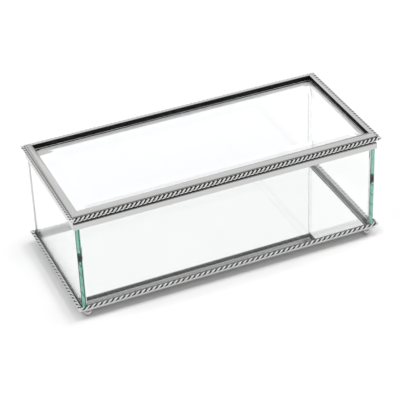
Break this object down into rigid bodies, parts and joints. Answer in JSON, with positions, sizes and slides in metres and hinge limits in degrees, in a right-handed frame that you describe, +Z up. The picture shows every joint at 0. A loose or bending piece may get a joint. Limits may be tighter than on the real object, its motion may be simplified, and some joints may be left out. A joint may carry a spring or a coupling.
{
  "type": "glass casket box",
  "caption": "Low rectangular box with clear glass walls in polished metal channels, rope trim, mirror floor, ball feet and a hinged lid with a bevelled pane.",
  "frame": {"origin": "centre of the footprint, on the plane that the four feet stand on", "axes": "+Z up, +X along the length, -Y towards the front; hinges at the rear, +Y"},
  "size_m": [0.2094, 0.0958, 0.0769],
  "materials": {
    "rail_metal": "polished silver plate",
    "rope_metal": "polished twisted wire",
    "foot_metal": "polished",
    "hinge_metal": "polished",
    "plate_metal": "satin",
    "pane_glass": "clear, bevelled",
    "wall_glass": "clear, green in its cut edges",
    "mirror": "silvered",
    "felt": "felt"
  },
  "bodies": {
    "box": {"rim_rail_front": "rail_metal", "rim_rail_rear": "rail_metal", "rim_rail_left": "rail_metal", "rim_rail_right": "rail_metal", "glass_front": "wall_glass", "glass_rear": "wall_glass", "glass_left": "wall_glass", "glass_right": "wall_glass", "base_rail_front": "rail_metal", "base_rail_rear": "rail_metal", "base_rail_left": "rail_metal", "base_rail_right": "rail_metal", "base_rope_front": "rope_metal", "base_rope_rear": "rope_metal", "base_rope_left": "rope_metal", "base_rope_right": "rope_metal", "mirror": "mirror", "mirror_pad": "felt", "base_plate": "plate_metal", "foot_front_left": "foot_metal", "foot_front_right": "foot_metal", "foot_rear_left": "foot_metal", "foot_rear_right": "foot_metal", "hinge_leaf_box_left": "hinge_metal", "hinge_leaf_box_right": "hinge_metal", "hinge_pin_left": "hinge_metal", "hinge_pin_right": "hinge_metal"},
    "lid": {"lid_pane": "pane_glass", "lid_rail_front": "rail_metal", "lid_rail_rear": "rail_metal", "lid_rail_left": "rail_metal", "lid_rail_right": "rail_metal", "lid_rope_front": "rope_metal", "lid_rope_rear": "rope_metal", "lid_rope_left": "rope_metal", "lid_rope_right": "rope_metal", "hinge_leaf_lid_left": "hinge_metal", "hinge_leaf_lid_right": "hinge_metal"}
  },
  "joints": [
    {"name": "lid_hinge", "type": "hinge", "parent": "box", "child": "lid", "pos_m": [0, 0.0469, 0.0711], "axis": [-1, 0, 0], "range_deg": [0, 105]}
  ]
}
